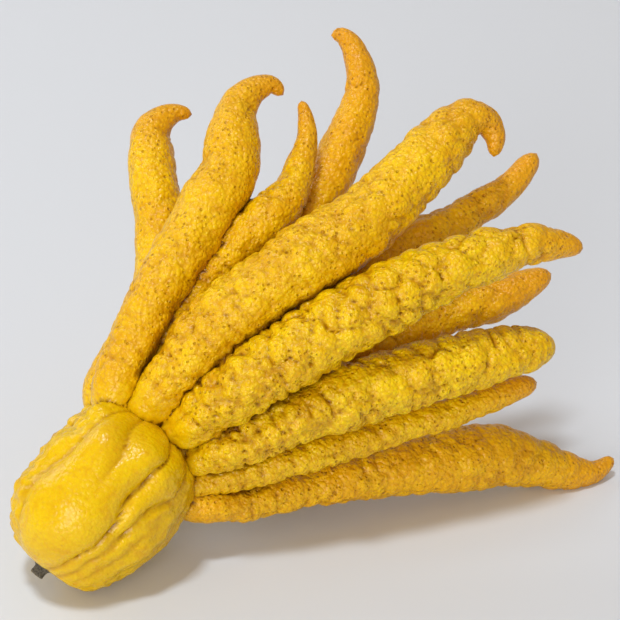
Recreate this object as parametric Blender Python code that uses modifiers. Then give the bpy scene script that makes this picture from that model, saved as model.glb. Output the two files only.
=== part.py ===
"""Buddha's hand citron: a lobed palm with seventeen curling fingers, lying as picked.

Everything is in metres, +Z up. The fruit is a fan of fingers that leans back from the
upright, so its shape is laid out in a fan frame of its own:
  across  to the right along the table,
  up      along the leaning fan,
  toward  out of the fan's front face.
fan_to_world() leans that frame back and puts the middle of the fruit's footprint at the origin,
with the table at z = 0.
"""

import math

import bmesh
import bpy
import numpy as np
from mathutils import Matrix, Vector

MM = 0.001

# Driving dimensions
LEAN = math.radians(28.0)                   # the fan leans back this far from the upright
FAN_ORIGIN = Vector((-6.8, -10.9, 83.0)) * MM   # the fan frame's zero point, in the world
TOUCH_GAP = 0.3 * MM                        # clearance kept between two touching solids

PALM_STEM_END = (-98.0, -94.0, 22.0)        # fan frame, millimetres
PALM_FINGER_END = (-58.0, -42.0, 16.0)
PALM_RADIUS = 29.5 * MM                     # the palm's half width where it is thickest
PALM_LOBES = 9                              # shallow ribs round the palm
LOBE_DEPTH = 0.035                          # rib height as a share of the palm's radius
PALM_SIDES = 54

CALYX_RADIUS = 5.2 * MM                     # dried flower cup left round the stem
CALYX_THICKNESS = 1.6 * MM
STUB_RADIUS = 2.6 * MM                      # the stem, cut off short
STUB_LENGTH = 4.6 * MM

STATIONS = 22                               # cross-sections along each finger
TIP_ROUNDING = 0.04                         # share of a finger's length that its round tip takes
BEVEL_STEPS = 3                             # fineness of a finger's round section
TURN_STEPS = 24                             # sides of the stem button

CUTTER_SPAN = 400.0 * MM                    # the block that cuts the resting flats: its width
CUTTER_DEPTH = 50.0 * MM                    # and how far it reaches below the table

# Each finger: (across, up, toward, radius) in millimetres, from inside the palm to the tip.
# The root bed is no finger: it is the flesh that fills the clefts between the front roots.
FINGERS = {
    "hooked_left": [
        (-72, -44, 4, 8), (-77, -31, 2, 9.7), (-68.7, -14, -1, 9.4), (-60.2, 4, -6, 9.1), (-58.1, 27, -14, 9.7),
        (-61.3, 51, -21, 9.7), (-62.8, 67.5, -26, 8.2), (-59.3, 74.5, -27, 6), (-53, 78, -28, 3.7),
        (-46.7, 77.4, -28, 1.8)],
    "hooked_second": [
        (-69, -43, 16, 7.5), (-72, -29, 18, 9), (-59, 2, 18, 9.9), (-43.6, 28, 14, 11.5), (-30.4, 53, 8, 11.1),
        (-28.6, 73.5, 2, 8.5), (-22.8, 82.6, -1, 5.9), (-15, 86, -3, 3.7), (-10.2, 82.2, -4, 1.8)],
    "slender": [
        (-63, -38, 10, 6), (-52, -8, 9, 8.4), (-38.5, 13, 8, 9), (-20.4, 31.3, 9, 9.4), (-8.6, 42.5, 6, 7.6),
        (-1.8, 62, 1, 4.5), (-1.5, 72, -1, 3.2), (-3.3, 80, -3, 1.7)],
    "tallest": [
        (-61, -42, 4, 7), (-42, -12, -2, 9), (-15, 18, -4, 9), (3.5, 43, -10, 8.6), (12.7, 63, -15, 8.7),
        (19.8, 82, -19, 7.1), (20.2, 92, -20, 6.1), (16.8, 102.8, -21, 4.6), (12.6, 107.6, -22, 3.4),
        (8.2, 107.8, -22, 1.9)],
    "long_hook": [
        (-63, -43, 18, 6.5), (-58, -35, 22, 8.6), (-50, -24, 25, 10.4), (-34, -5, 26, 12.4), (-5, 16, 26, 13.5),
        (20.6, 33.1, 22.5, 13), (33, 45.2, 19, 12), (46.4, 59.2, 14.5, 11.3), (57.3, 70.5, 10, 8.2),
        (65.8, 71.2, 8, 5.7), (69.7, 65, 7, 4.1), (69.2, 57.6, 7, 1.9)],
    "upper_back": [
        (-60, -43, 8, 7), (-30, -13, 4, 10), (8, 10, 2, 9.5), (39.5, 25.5, -5, 8.5), (60.3, 36.2, -11, 7.6),
        (76.2, 46.7, -14, 5.8), (84, 55.5, -16, 4.6), (88.3, 61, -16, 2.4)],
    "broad": [
        (-54, -47, 18, 7.2), (-44, -41.5, 23, 9.3), (-34, -34.5, 27, 11.2), (-20, -24, 30, 12.4),
        (16, -2, 30, 13.4), (46, 13, 26, 11.2), (76, 23.5, 20, 8.5), (92, 24.4, 15, 5.6), (102, 23, 13, 2.8)],
    "middle_back": [
        (-58, -45, 6, 7), (-34, -35, 4, 9), (-4, -23, 2, 8.5), (31, -10, -8, 8), (55, -0.9, -14, 8.7),
        (74, 4.7, -18, 8.3), (87, 11, -20, 5.5), (94.6, 14.4, -21, 2.8)],
    "blunt": [
        (-49, -58, 15, 5.2), (-40, -55, 18, 6.2), (-29.5, -50.5, 20, 8.7), (-9.3, -41, 20, 10.8),
        (12, -32.8, 17.5, 12.2), (34, -25.8, 14, 12), (56, -20.3, 9, 11.4), (79, -15.2, 3, 9.4),
        (93.4, -13.6, 0, 7.2)],
    "narrow": [
        (-52, -66, 12, 4.8), (-42, -65, 12, 5.4), (-26, -62, 10, 6.1), (-10, -57.3, 8, 6.5), (13, -51, 3, 6.5),
        (38, -43.7, -2, 6.4), (62, -36.8, -7, 5.7), (78, -30.8, -11, 5), (88, -28, -13, 3.2)],
    "lowest": [
        (-54, -69, 10, 6), (-42, -73, 9, 7.1), (-27, -73, 4, 7.2), (-4, -69, -6, 7.8), (14, -65.5, -12, 8.8),
        (35, -62, -20, 10.8), (57, -59.2, -27, 12.8), (78, -58.5, -34, 12), (101, -64.4, -41, 8),
        (114, -65.8, -45, 4.8), (123.6, -60.3, -48, 2.1)],
    "root_bed": [
        (-74, -36, 6, 9), (-62, -46, 9, 13), (-50, -56, 9, 13), (-44, -66, 4, 10)],
    "hidden_prop": [
        (-60, -50, 5, 6), (-41, -46, -24, 9.5), (-17, -39, -58, 11), (4, -36, -90, 8.5), (18, -33, -106, 5.4)],
    "hidden_upper": [
        (-62, -42, 0, 6), (-45, -14, -28, 10), (-17, 12, -56, 11.5), (8, 32, -76, 9.3), (26, 46, -84, 5.6),
        (35, 52, -86, 2.2)],
    "hidden_right": [
        (-59, -44, 0, 6), (-34, -32, -26, 10), (0, -12, -52, 11), (34, 5, -70, 9), (55, 15, -78, 5.5),
        (66, 20, -80, 2.1)],
    "hidden_left": [
        (-70, -40, 0, 6), (-70, -14, -26, 10), (-59, 10, -48, 11), (-48, 30, -64, 9), (-37, 46, -72, 5.5),
        (-32, 56, -74, 2.1)],
    "hidden_low": [
        (-57, -61, 2, 5), (-31, -60, -18, 8.5), (0, -53, -40, 9), (29, -47, -58, 7), (48, -41, -68, 4.2),
        (57, -39, -70, 1.9)],
    "hidden_middle": [
        (-62, -46, 0, 6), (-52, -37, -36, 11), (-38, -24, -66, 11), (-25, -14, -85, 8.6),
        (-15, -6, -94, 5.2), (-11, -2, -97, 2.2)],
}


def clear_scene():
    for item in list(bpy.data.objects):
        bpy.data.objects.remove(item, do_unlink=True)


def make_collection(name):
    collection = bpy.data.collections.new(name)
    bpy.context.scene.collection.children.link(collection)
    return collection


def make_material(name, colour, roughness):
    material = bpy.data.materials.new(name)
    material.use_nodes = True
    shader = material.node_tree.nodes["Principled BSDF"]
    shader.inputs["Base Color"].default_value = (*colour, 1.0)
    shader.inputs["Roughness"].default_value = roughness
    shader.inputs["Metallic"].default_value = 0.0
    material.diffuse_color = (*colour, 1.0)
    return material


def fan_to_world():
    """Matrix from the fan frame (across, up, toward; metres) to the world."""
    across = Vector((1.0, 0.0, 0.0))
    up = Vector((0.0, math.sin(LEAN), math.cos(LEAN)))
    toward = Vector((0.0, -math.cos(LEAN), math.sin(LEAN)))
    turn = Matrix((across, up, toward)).transposed().to_4x4()
    return Matrix.Translation(FAN_ORIGIN) @ turn


def smooth_stations(points, count):
    """Stations evenly spaced on a smooth curve through the points (a Catmull-Rom spline).

    Each row is across, up, toward, radius. The last stretch shrinks as a half circle does,
    so the tip is round.
    """
    knots = np.array(points, dtype=float)
    knots = np.vstack([2 * knots[0] - knots[1], knots, 2 * knots[-1] - knots[-2]])
    dense = []
    for before, start, end, after in zip(knots, knots[1:], knots[2:], knots[3:]):
        t = np.linspace(0.0, 1.0, 24, endpoint=False)[:, None]
        dense.append(0.5 * (2 * start + (end - before) * t
                            + (2 * before - 5 * start + 4 * end - after) * t ** 2
                            + (3 * start - before - 3 * end + after) * t ** 3))
    dense = np.vstack(dense + [knots[-2:-1]])
    steps = np.linalg.norm(np.diff(dense[:, :3], axis=0), axis=1)
    travelled = np.concatenate([[0.0], np.cumsum(steps)]) / steps.sum()
    body = np.linspace(0.0, 1.0 - TIP_ROUNDING, count - 2)
    wanted = np.concatenate([body, [1.0 - 0.4 * TIP_ROUNDING, 1.0]])
    rows = np.column_stack([np.interp(wanted, travelled, column) for column in dense.T])
    into_tip = np.clip((wanted - (1.0 - TIP_ROUNDING)) / TIP_ROUNDING, 0.0, 0.94)
    rows[:, 3] *= np.sqrt(1.0 - into_tip ** 2)
    return rows


def make_finger(name, points, collection):
    """A tapering tube along a smooth curve, capped, made a closed mesh."""
    rows = smooth_stations(points, STATIONS)
    curve = bpy.data.curves.new(name, "CURVE")
    curve.dimensions = "3D"
    curve.bevel_depth = 1.0
    curve.bevel_resolution = BEVEL_STEPS
    curve.use_fill_caps = True
    spline = curve.splines.new("POLY")
    spline.points.add(len(rows) - 1)
    for point, (across, up, toward, radius) in zip(spline.points, rows * MM):
        point.co = (across, up, toward, 1.0)
        point.radius = radius
    tube = bpy.data.objects.new(name + "_curve", curve)
    tube.matrix_world = fan_to_world()
    collection.objects.link(tube)
    bpy.context.view_layer.update()
    evaluated = tube.evaluated_get(bpy.context.evaluated_depsgraph_get())
    mesh = bpy.data.meshes.new_from_object(evaluated)
    finger = bpy.data.objects.new(name, mesh)
    finger.matrix_world = tube.matrix_world
    collection.objects.link(finger)
    bpy.data.objects.remove(tube, do_unlink=True)
    weld(mesh)
    return finger


def weld(mesh):
    """Join a curve's loose caps to its wall and turn every face outwards."""
    shape = bmesh.new()
    shape.from_mesh(mesh)
    bmesh.ops.remove_doubles(shape, verts=shape.verts, dist=0.02 * MM)
    bmesh.ops.recalc_face_normals(shape, faces=shape.faces)
    shape.to_mesh(mesh)
    shape.free()


def palm_frame():
    """Matrix whose local +Z runs from the palm's stem end to its finger end."""
    to_world = fan_to_world()
    stem_end = to_world @ (Vector(PALM_STEM_END) * MM)
    finger_end = to_world @ (Vector(PALM_FINGER_END) * MM)
    axis = finger_end - stem_end
    turn = axis.to_track_quat("Z", "Y").to_matrix().to_4x4()
    return Matrix.Translation(stem_end) @ turn, axis.length


def make_palm(collection):
    """The palm: a blunt round form, turned about its own axis, then ribbed."""
    frame, length = palm_frame()
    profile = [                      # (distance from the stem end / length, radius share)
        (0.00, 0.00), (0.00, 0.29), (0.03, 0.47), (0.10, 0.68), (0.20, 0.83), (0.38, 0.96),
        (0.58, 1.00), (0.76, 0.96), (0.86, 0.85), (0.93, 0.66), (0.99, 0.33), (1.01, 0.00)]
    outline = bpy.data.meshes.new("palm")
    points = [(share * PALM_RADIUS, 0.0, along * length) for along, share in reversed(profile)]
    edges = [(index, index + 1) for index in range(len(points) - 1)]
    outline.from_pydata(points, edges, [])
    palm = bpy.data.objects.new("palm", outline)
    collection.objects.link(palm)
    screw = palm.modifiers.new("turn", "SCREW")
    screw.steps = PALM_SIDES
    screw.render_steps = PALM_SIDES
    screw.use_merge_vertices = True
    screw.merge_threshold = 0.01 * MM
    bpy.context.view_layer.update()
    evaluated = palm.evaluated_get(bpy.context.evaluated_depsgraph_get())
    mesh = bpy.data.meshes.new_from_object(evaluated)
    palm.modifiers.clear()
    palm.data = mesh
    palm.matrix_world = frame
    weld(mesh)
    rib(mesh)
    return palm


def rib(mesh):
    """Each point moves in or out by the cosine of its angle times the number of lobes."""
    places = np.empty(len(mesh.vertices) * 3)
    mesh.vertices.foreach_get("co", places)
    places = places.reshape(-1, 3)
    angle = np.arctan2(places[:, 1], places[:, 0])
    swell = 1.0 + LOBE_DEPTH * np.cos(PALM_LOBES * angle)
    places[:, :2] *= swell[:, None]
    mesh.vertices.foreach_set("co", places.ravel())
    mesh.update()


def make_table_cutter(collection):
    """Everything below the table: cutting it away leaves the small flats the fruit rests on."""
    bpy.ops.mesh.primitive_cube_add(size=1.0)
    cutter = bpy.context.active_object
    cutter.name = "below_table"
    cutter.dimensions = (CUTTER_SPAN, CUTTER_SPAN, CUTTER_DEPTH)
    cutter.location = (0.0, 0.0, -CUTTER_DEPTH / 2)
    for home in list(cutter.users_collection):
        home.objects.unlink(cutter)
    collection.objects.link(cutter)
    return cutter


def hide_guide(guide):
    guide.hide_render = True
    guide.display_type = "WIRE"


def add_boolean(target, other, operation):
    boolean = target.modifiers.new(operation.lower() + "_" + other.name, "BOOLEAN")
    boolean.operation = operation
    boolean.solver = "EXACT"
    boolean.object = other
    hide_guide(other)


def make_fruit(parts, guides, rind):
    """The palm and all its fingers, grown together as one closed skin."""
    fruit = make_palm(parts)
    fruit.name = "fruit"
    fruit.data.name = "fruit"
    for name, points in FINGERS.items():
        add_boolean(fruit, make_finger(name, points, guides), "UNION")
    add_boolean(fruit, make_table_cutter(guides), "DIFFERENCE")
    fruit.data.materials.clear()
    fruit.data.materials.append(rind)
    return fruit


def make_stem_button(parts, dry_stem):
    """The dried calyx and the cut stub of stem, turned about the palm's axis."""
    frame, _ = palm_frame()
    profile = [
        (0.0, -TOUCH_GAP), (CALYX_RADIUS, -TOUCH_GAP), (CALYX_RADIUS * 0.94, -0.6 * CALYX_THICKNESS),
        (STUB_RADIUS * 1.15, -CALYX_THICKNESS), (STUB_RADIUS, -2.0 * CALYX_THICKNESS),
        (STUB_RADIUS, -STUB_LENGTH), (0.0, -STUB_LENGTH)]
    outline = bpy.data.meshes.new("stem_button")
    points = [(radius, 0.0, height) for radius, height in profile]
    edges = [(index, index + 1) for index in range(len(points) - 1)]
    outline.from_pydata(points, edges, [])
    button = bpy.data.objects.new("stem_button", outline)
    parts.objects.link(button)
    button.matrix_world = frame
    screw = button.modifiers.new("turn", "SCREW")
    screw.steps = TURN_STEPS
    screw.render_steps = TURN_STEPS
    screw.use_merge_vertices = True
    screw.merge_threshold = 0.01 * MM
    outline.materials.append(dry_stem)
    return button


def build():
    clear_scene()
    parts = make_collection("buddhas_hand")
    guides = make_collection("cutters")
    rind = make_material("rind", (0.78, 0.47, 0.012), 0.42)
    dry_stem = make_material("dry_stem", (0.06, 0.05, 0.04), 0.85)
    make_fruit(parts, guides, rind)
    make_stem_button(parts, dry_stem)


build()
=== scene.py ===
# %% [markdown]
# # A Buddha's hand citron
# This fruit is a lemon-like palm that splits into long curling fingers. All of it is one
# living skin, so the lesson builds one closed surface: a ribbed palm and seventeen fingers
# are each worked out with numpy, and a union melts them together. The measured solids
# come first, because every place and size below has to agree with them.

# %% Open the measured solids
import math

import bpy
import numpy as np
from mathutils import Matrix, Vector


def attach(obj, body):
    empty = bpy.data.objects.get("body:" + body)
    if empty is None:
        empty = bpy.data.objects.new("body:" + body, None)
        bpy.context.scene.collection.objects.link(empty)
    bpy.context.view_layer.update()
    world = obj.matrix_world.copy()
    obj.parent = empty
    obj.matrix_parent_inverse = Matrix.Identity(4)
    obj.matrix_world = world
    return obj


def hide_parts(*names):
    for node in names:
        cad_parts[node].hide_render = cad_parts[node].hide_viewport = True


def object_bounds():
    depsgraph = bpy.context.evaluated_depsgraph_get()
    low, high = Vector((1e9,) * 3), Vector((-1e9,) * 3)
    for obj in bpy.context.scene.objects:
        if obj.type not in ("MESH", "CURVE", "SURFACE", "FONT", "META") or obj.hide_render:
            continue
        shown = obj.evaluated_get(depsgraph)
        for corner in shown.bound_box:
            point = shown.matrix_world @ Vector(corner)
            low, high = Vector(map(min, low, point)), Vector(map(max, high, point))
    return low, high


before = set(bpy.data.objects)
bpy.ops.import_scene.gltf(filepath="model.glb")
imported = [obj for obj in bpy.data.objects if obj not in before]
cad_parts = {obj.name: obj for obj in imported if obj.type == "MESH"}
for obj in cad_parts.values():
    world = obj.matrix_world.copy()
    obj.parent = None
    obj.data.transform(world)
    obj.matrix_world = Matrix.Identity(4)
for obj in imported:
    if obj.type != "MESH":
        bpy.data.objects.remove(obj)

MM = 0.001
cad_box = [list(corner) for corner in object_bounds()]
size_mm = (np.array(cad_box[1]) - np.array(cad_box[0])) / MM
print("solids:", sorted(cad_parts), "box in mm:", size_mm.round(1))

# %% [markdown]
# ## The fan frame
# The fingers spread in a fan that leans back from the upright. It is far easier to lay a
# finger out on the fan's own plane than in the room, so shapes are written as
# (across, up, toward) in millimetres: across is to the right along the table, up runs up
# the leaning fan, and toward comes out of its front face. One turn and one shift then
# carry everything into the room.

# %% The fan frame and the way into the room
LEAN = math.radians(28.0)
FAN_ORIGIN = np.array([-6.8, -10.9, 83.0])
ACROSS = np.array([1.0, 0.0, 0.0])
UP = np.array([0.0, math.sin(LEAN), math.cos(LEAN)])
TOWARD = np.array([0.0, -math.cos(LEAN), math.sin(LEAN)])


def to_room(places):
    """Fan millimetres to room millimetres: origin + across*ACROSS + up*UP + toward*TOWARD."""
    return FAN_ORIGIN + places @ np.stack([ACROSS, UP, TOWARD])


print("the fan's up in the room:", UP.round(3), "and its front faces:", TOWARD.round(3))

# %% [markdown]
# ## Repeatable roughness
# Rind is never smooth. Two classic patterns give almost all of it. Soft noise blends random
# heights on a lattice and makes slow swellings. A cell pattern drops one point at random in
# every small cube and measures the distance to the nearest and the second nearest point:
# close to a point the surface domes up like a knob, and where two distances are equal a
# crease runs between two knobs. Both are hashes of whole numbers, so every run is the same.

# %% Soft noise and cells
def lattice_random(corner, seed):
    """A number from 0 to 1 for each whole-number corner: multiply, then fold the bits."""
    c = corner.astype(np.int64)
    mixed = c[..., 0] * 374761393 + c[..., 1] * 668265263 + c[..., 2] * 1274126177 + seed * 974631
    mixed = (mixed ^ (mixed >> 13)) * 1103515245
    mixed = (mixed ^ (mixed >> 17)) * 668265263
    return ((mixed ^ (mixed >> 15)) & 0xFFFFF) / float(0xFFFFF)


def soft_noise(places, seed):
    """Heights at the eight corners round each place, blended by 3t^2 - 2t^3; from -1 to 1."""
    base = np.floor(places)
    t = places - base
    t = t * t * (3.0 - 2.0 * t)
    total = np.zeros(places.shape[:-1])
    for corner in np.ndindex(2, 2, 2):
        weight = np.prod(np.where(np.array(corner) == 1, t, 1.0 - t), axis=-1)
        total += weight * lattice_random(base + corner, seed)
    return 2.0 * total - 1.0


def cells(places, seed):
    """Distances to the nearest and second nearest of the random points, one in each cube."""
    base = np.floor(places)
    nearest = np.full(places.shape[:-1], 9.0)
    second = np.full(places.shape[:-1], 9.0)
    for step in np.ndindex(3, 3, 3):
        corner = base + step - 1.0
        offset = np.stack([lattice_random(corner, seed + axis) for axis in range(3)], axis=-1)
        distance = np.linalg.norm(corner + offset - places, axis=-1)
        second = np.minimum(second, np.maximum(nearest, distance))
        nearest = np.minimum(nearest, distance)
    return nearest, second


def smooth_step(low, high, value):
    """0 below low, 1 above high, and 3t^2 - 2t^3 between them."""
    t = np.clip((value - low) / (high - low), 0.0, 1.0)
    return t * t * (3.0 - 2.0 * t)


tried = soft_noise(np.arange(300)[:, None] * np.array([0.1, 0.2, 0.3]), 1)
print("soft noise at 300 places runs from", tried.min().round(2), "to", tried.max().round(2))

# %% [markdown]
# ## A closed surface from a grid
# Every shape here is rings of points, one ring after another, closed by a point at each
# end. Turning that grid into a mesh is the same work each time, so it is one function.
# Nothing reaches below the table: there the fruit's own weight presses the soft rind flat.

# %% Rings to a closed mesh
def put_mark(mesh, mark, values):
    """Give every point of the mesh its number, under that name."""
    mesh.attributes.new(mark, "FLOAT", "POINT").data.foreach_set("value", values)


def closed_rings(name, rings, first_pole, last_pole, marks):
    """Join each ring to the next with quads, and each end ring to its pole with triangles.

    rings is (ring, around, xyz) in fan millimetres; marks are named numbers per ring point.
    """
    count, around = rings.shape[:2]
    places = to_room(np.vstack([rings.reshape(-1, 3), first_pole, last_pole])) * MM
    places[:, 2] = np.maximum(places[:, 2], 0.0)
    index = np.arange(count * around).reshape(count, around)
    turned = np.roll(index, -1, axis=1)
    quads = np.stack([index[:-1], turned[:-1], turned[1:], index[1:]], axis=-1).reshape(-1, 4)
    first, last = count * around, count * around + 1
    start = np.stack([turned[0], index[0], np.full(around, first)], axis=-1)
    end = np.stack([index[-1], turned[-1], np.full(around, last)], axis=-1)
    mesh = bpy.data.meshes.new(name)
    mesh.from_pydata(places.tolist(), [], quads.tolist() + start.tolist() + end.tolist())
    for mark, values in marks.items():
        padded = np.concatenate([values.ravel(), [values[0].mean(), values[-1].mean()]])
        put_mark(mesh, mark, padded)
    mesh.update()
    shape = bpy.data.objects.new(name, mesh)
    bpy.context.scene.collection.objects.link(shape)
    print(name, "rings:", count, "points round each:", around)
    return shape


print("lowest point of the solids above the table in mm:", round(cad_box[0][2] / MM, 2))

# %% [markdown]
# ## The fingers' paths
# A finger is a tube that swells and tapers along a bent path. Each row of a path is
# (across, up, toward, radius); a smooth spline runs through the rows, and evenly spaced
# stations are read from it. Eleven fingers make the fan's front and six more stand
# behind. The root bed is not a finger: it is the flesh that fills the clefts between their roots.

# %% Where each finger runs
FINGER_ROWS = {
    "hooked_left": [
        (-72, -44, 4, 8), (-77, -31, 2, 9.7), (-68.7, -14, -1, 9.4), (-60.2, 4, -6, 9.1),
        (-58.1, 27, -14, 9.7), (-61.3, 51, -21, 9.7), (-62.8, 67.5, -26, 8.2), (-59.3, 74.5, -27, 6),
        (-53, 78, -28, 3.7), (-46.7, 77.4, -28, 1.8)],
    "hooked_second": [
        (-69, -43, 16, 7.5), (-72, -29, 18, 9), (-59, 2, 18, 9.9), (-43.6, 28, 14, 11.5),
        (-30.4, 53, 8, 11.1), (-28.6, 73.5, 2, 8.5), (-22.8, 82.6, -1, 5.9), (-15, 86, -3, 3.7),
        (-10.2, 82.2, -4, 1.8)],
    "slender": [
        (-63, -38, 10, 6), (-52, -8, 9, 8.4), (-38.5, 13, 8, 9), (-20.4, 31.3, 9, 9.4),
        (-8.6, 42.5, 6, 7.6), (-1.8, 62, 1, 4.5), (-1.5, 72, -1, 3.2), (-3.3, 80, -3, 1.7)],
    "tallest": [
        (-61, -42, 4, 7), (-42, -12, -2, 9), (-15, 18, -4, 9), (3.5, 43, -10, 8.6), (12.7, 63, -15, 8.7),
        (19.8, 82, -19, 7.1), (20.2, 92, -20, 6.1), (16.8, 102.8, -21, 4.6), (12.6, 107.6, -22, 3.4),
        (8.2, 107.8, -22, 1.9)],
    "long_hook": [
        (-63, -43, 18, 6.5), (-58, -35, 22, 8.6), (-50, -24, 25, 10.4), (-34, -5, 26, 12.4),
        (-5, 16, 26, 13.5), (20.6, 33.1, 22.5, 13), (33, 45.2, 19, 12), (46.4, 59.2, 14.5, 11.3),
        (57.3, 70.5, 10, 8.2), (65.8, 71.2, 8, 5.7), (69.7, 65, 7, 4.1), (69.2, 57.6, 7, 1.9)],
    "upper_back": [
        (-60, -43, 8, 7), (-30, -13, 4, 10), (8, 10, 2, 9.5), (39.5, 25.5, -5, 8.5),
        (60.3, 36.2, -11, 7.6), (76.2, 46.7, -14, 5.8), (84, 55.5, -16, 4.6), (88.3, 61, -16, 2.4)],
    "broad": [
        (-54, -47, 18, 7.2), (-44, -41.5, 23, 9.3), (-34, -34.5, 27, 11.2), (-20, -24, 30, 12.4),
        (16, -2, 30, 13.4), (46, 13, 26, 11.2), (76, 23.5, 20, 8.5), (92, 24.4, 15, 5.6),
        (102, 23, 13, 2.8)],
    "middle_back": [
        (-58, -45, 6, 7), (-34, -35, 4, 9), (-4, -23, 2, 8.5), (31, -10, -8, 8), (55, -0.9, -14, 8.7),
        (74, 4.7, -18, 8.3), (87, 11, -20, 5.5), (94.6, 14.4, -21, 2.8)],
    "blunt": [
        (-49, -58, 15, 5.2), (-40, -55, 18, 6.2), (-29.5, -50.5, 20, 8.7), (-9.3, -41, 20, 10.8),
        (12, -32.8, 17.5, 12.2), (34, -25.8, 14, 12), (56, -20.3, 9, 11.4), (79, -15.2, 3, 9.4),
        (93.4, -13.6, 0, 7.2)],
    "narrow": [
        (-52, -66, 12, 4.8), (-42, -65, 12, 5.4), (-26, -62, 10, 6.1), (-10, -57.3, 8, 6.5),
        (13, -51, 3, 6.5), (38, -43.7, -2, 6.4), (62, -36.8, -7, 5.7), (78, -30.8, -11, 5),
        (88, -28, -13, 3.2)],
    "lowest": [
        (-54, -69, 10, 6), (-42, -73, 9, 7.1), (-27, -73, 4, 7.2), (-4, -69, -6, 7.8),
        (14, -65.5, -12, 8.8), (35, -62, -20, 10.8), (57, -59.2, -27, 12.8), (78, -58.5, -34, 12),
        (101, -64.4, -41, 8), (114, -65.8, -45, 4.8), (123.6, -60.3, -48, 2.1)],
    "root_bed": [
        (-74, -36, 6, 9), (-62, -46, 9, 13), (-50, -56, 9, 13), (-44, -66, 4, 10)],
    "hidden_prop": [
        (-60, -50, 5, 6), (-41, -46, -24, 9.5), (-17, -39, -58, 11), (4, -36, -90, 8.5),
        (18, -33, -106, 5.4)],
    "hidden_upper": [
        (-62, -42, 0, 6), (-45, -14, -28, 10), (-17, 12, -56, 11.5), (8, 32, -76, 9.3),
        (26, 46, -84, 5.6), (35, 52, -86, 2.2)],
    "hidden_right": [
        (-59, -44, 0, 6), (-34, -32, -26, 10), (0, -12, -52, 11), (34, 5, -70, 9), (55, 15, -78, 5.5),
        (66, 20, -80, 2.1)],
    "hidden_left": [
        (-70, -40, 0, 6), (-70, -14, -26, 10), (-59, 10, -48, 11), (-48, 30, -64, 9),
        (-37, 46, -72, 5.5), (-32, 56, -74, 2.1)],
    "hidden_low": [
        (-57, -61, 2, 5), (-31, -60, -18, 8.5), (0, -53, -40, 9), (29, -47, -58, 7), (48, -41, -68, 4.2),
        (57, -39, -70, 1.9)],
    "hidden_middle": [
        (-62, -46, 0, 6), (-52, -37, -36, 11), (-38, -24, -66, 11), (-25, -14, -85, 8.6),
        (-15, -6, -94, 5.2), (-11, -2, -97, 2.2)],
}
# mm between neighbouring points of the skin, in front and on the hidden side
FINE_EDGE = 1.25
COARSE_EDGE = 2.0
SPLINE_STEPS = 40


def stations_along(rows, spacing):
    """Catmull-Rom curve through the rows, read at equal steps of its own length.

    Between two rows it is the cubic whose slope at each row is half the way from the row
    before to the row after.
    """
    knots = np.array(rows, dtype=float)
    knots = np.vstack([2 * knots[0] - knots[1], knots, 2 * knots[-1] - knots[-2]])
    t = np.linspace(0.0, 1.0, SPLINE_STEPS, endpoint=False)[:, None]
    dense = []
    for before, start, end, after in zip(knots, knots[1:], knots[2:], knots[3:]):
        dense.append(0.5 * (2 * start + (end - before) * t
                            + (2 * before - 5 * start + 4 * end - after) * t ** 2
                            + (3 * start - before - 3 * end + after) * t ** 3))
    dense = np.vstack(dense + [knots[-2:-1]])
    steps = np.linalg.norm(np.diff(dense[:, :3], axis=0), axis=1)
    travelled = np.concatenate([[0.0], np.cumsum(steps)])
    wanted = np.linspace(0.0, travelled[-1], max(12, round(travelled[-1] / spacing)))
    stations = np.column_stack([np.interp(wanted, travelled, column) for column in dense.T])
    return wanted, stations


print(len(FINGER_ROWS) - 1, "fingers and the root bed")

# %% [markdown]
# ## One finger
# Round the path goes a ring at every station. Its radius is the path's own, rounded off at
# both ends like a half ball, and then roughened. The roughness is worked out in the
# finger's own straightened space, (distance along, across, up), so knobs can be made wider
# round the finger than along it. That is what gives the rind its cross wrinkles. A bevelled
# curve would give a tube too, but a smooth one, and its knobs could then only be faked.

# %% The rind's relief
# sizes in mm; the valleys' width is a share of the knobs' size
SWELLING_SIZE = 13.0
SWELLING_HEIGHT = 0.7
KNOB_SIZE = 8.4
KNOB_HEIGHT = 1.6
VALLEY_WIDTH = 0.16
VALLEY_DEPTH = 1.6
WART_SIZE = 2.9
WART_HEIGHT = 0.22
RING_SPACING = 6.0
RING_WIDTH = 0.6
RING_DEPTH = 1.4


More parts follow.
